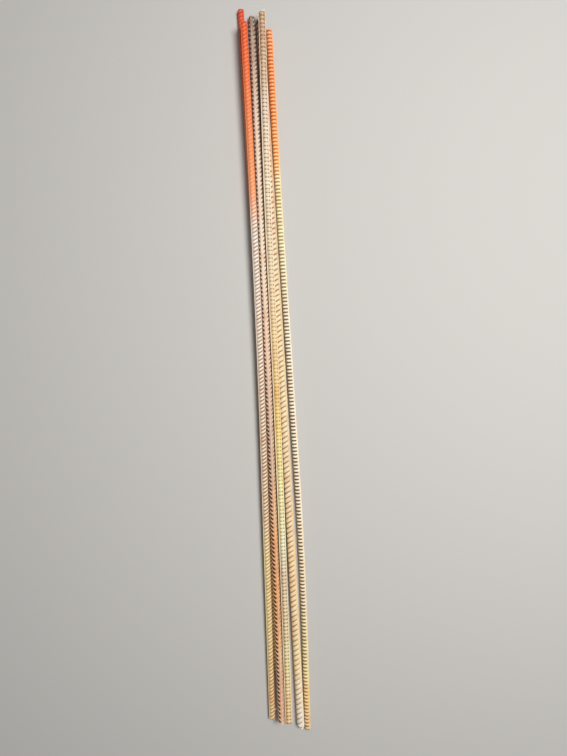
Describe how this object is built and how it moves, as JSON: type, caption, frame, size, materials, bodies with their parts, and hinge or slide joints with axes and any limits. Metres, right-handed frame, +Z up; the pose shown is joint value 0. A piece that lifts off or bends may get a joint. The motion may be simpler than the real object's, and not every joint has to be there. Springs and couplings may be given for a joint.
{
  "type": "rebar bundle",
  "caption": "Loose bundle of rusted reinforcing bars with ribbed sides and painted ends, lying flat and overlapping; for concrete work, fencing stakes or site clutter.",
  "frame": {"origin": "on the floor, under the middle of the whole bundle as it lies", "axes": "+Z up off the floor; +Y along the bars towards the painted ends; +X across the bars"},
  "size_m": [0.1558, 1.5436, 0.0423],
  "materials": {
    "rusted_steel_red_end": "surface rust over mill scale, red paint on the top end",
    "rusted_steel_dark": "surface rust over dark mill scale",
    "rusted_steel_tan": "dusty tan surface rust",
    "rusted_steel_orange_end": "dusty yellow-tan surface rust, orange paint on the top end"
  },
  "bodies": {
    "root": {"red_end_bar_back": "rusted_steel_red_end", "red_end_bar_front": "rusted_steel_red_end", "dark_top_bar": "rusted_steel_dark", "tan_bar": "rusted_steel_tan", "thick_bar": "rusted_steel_tan", "orange_end_bar": "rusted_steel_orange_end"}
  },
  "joints": []
}
